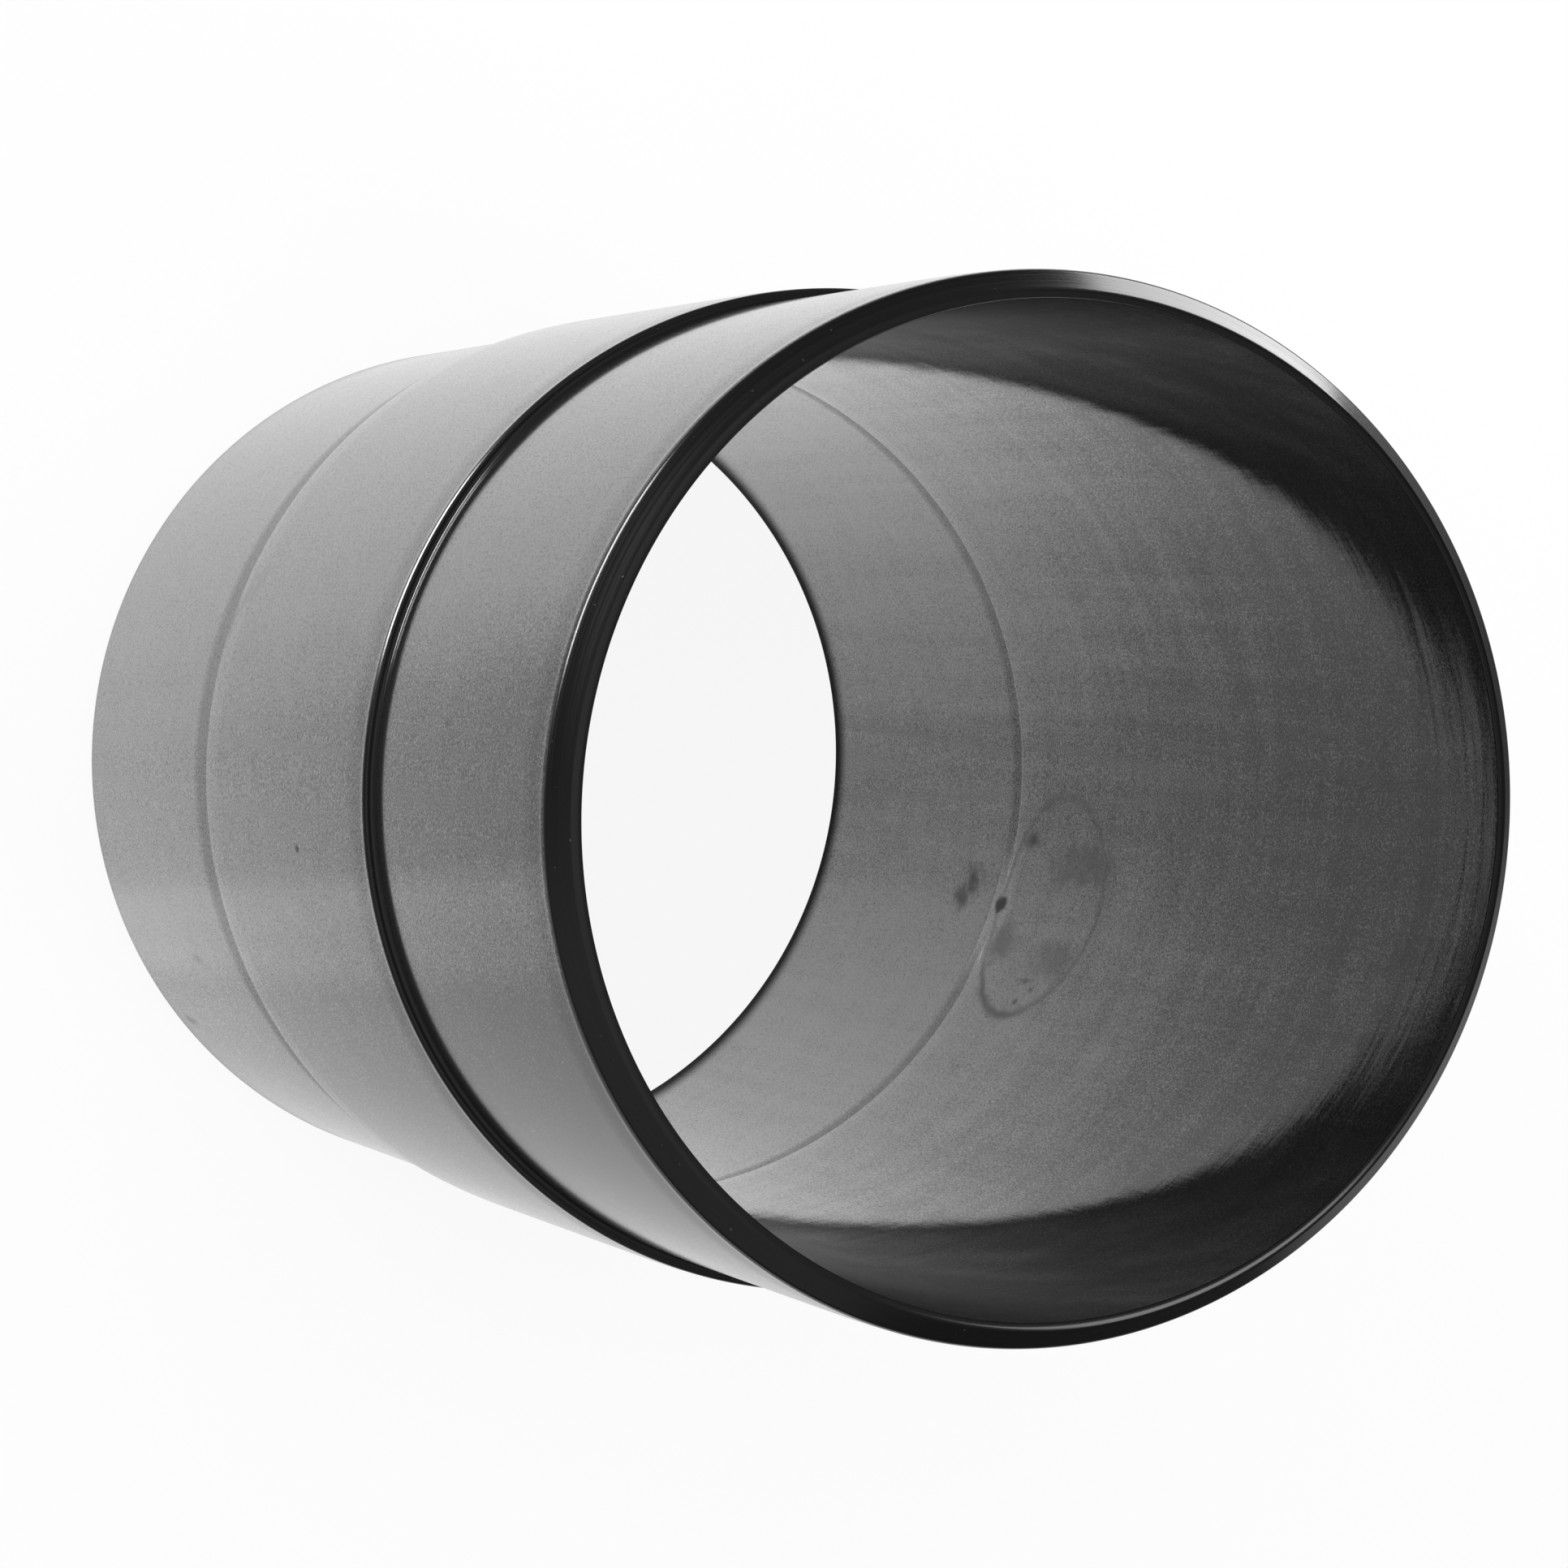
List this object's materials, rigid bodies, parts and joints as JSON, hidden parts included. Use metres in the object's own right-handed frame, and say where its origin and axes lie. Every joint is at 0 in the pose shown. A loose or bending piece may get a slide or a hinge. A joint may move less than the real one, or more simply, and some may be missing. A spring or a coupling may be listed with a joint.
{
  "type": "hose splice connector",
  "caption": "Stepped, open plastic tube that joins lengths of duct hose end to end, with a thicker collar between its sleeves and a bevelled lead-in at each end.",
  "frame": {"origin": "centre of the lower end, on the tube's axis", "axes": "+Z along the tube's axis, from the drafted lower sleeve to the plain upper sleeve"},
  "size_m": [0.104, 0.104, 0.1584],
  "materials": {
    "black_plastic": "dull moulded black plastic with fine turning lines on the bevelled rim, light scuffs and a little grime in the creases"
  },
  "bodies": {
    "root": {"connector_body": "black_plastic"}
  },
  "joints": []
}
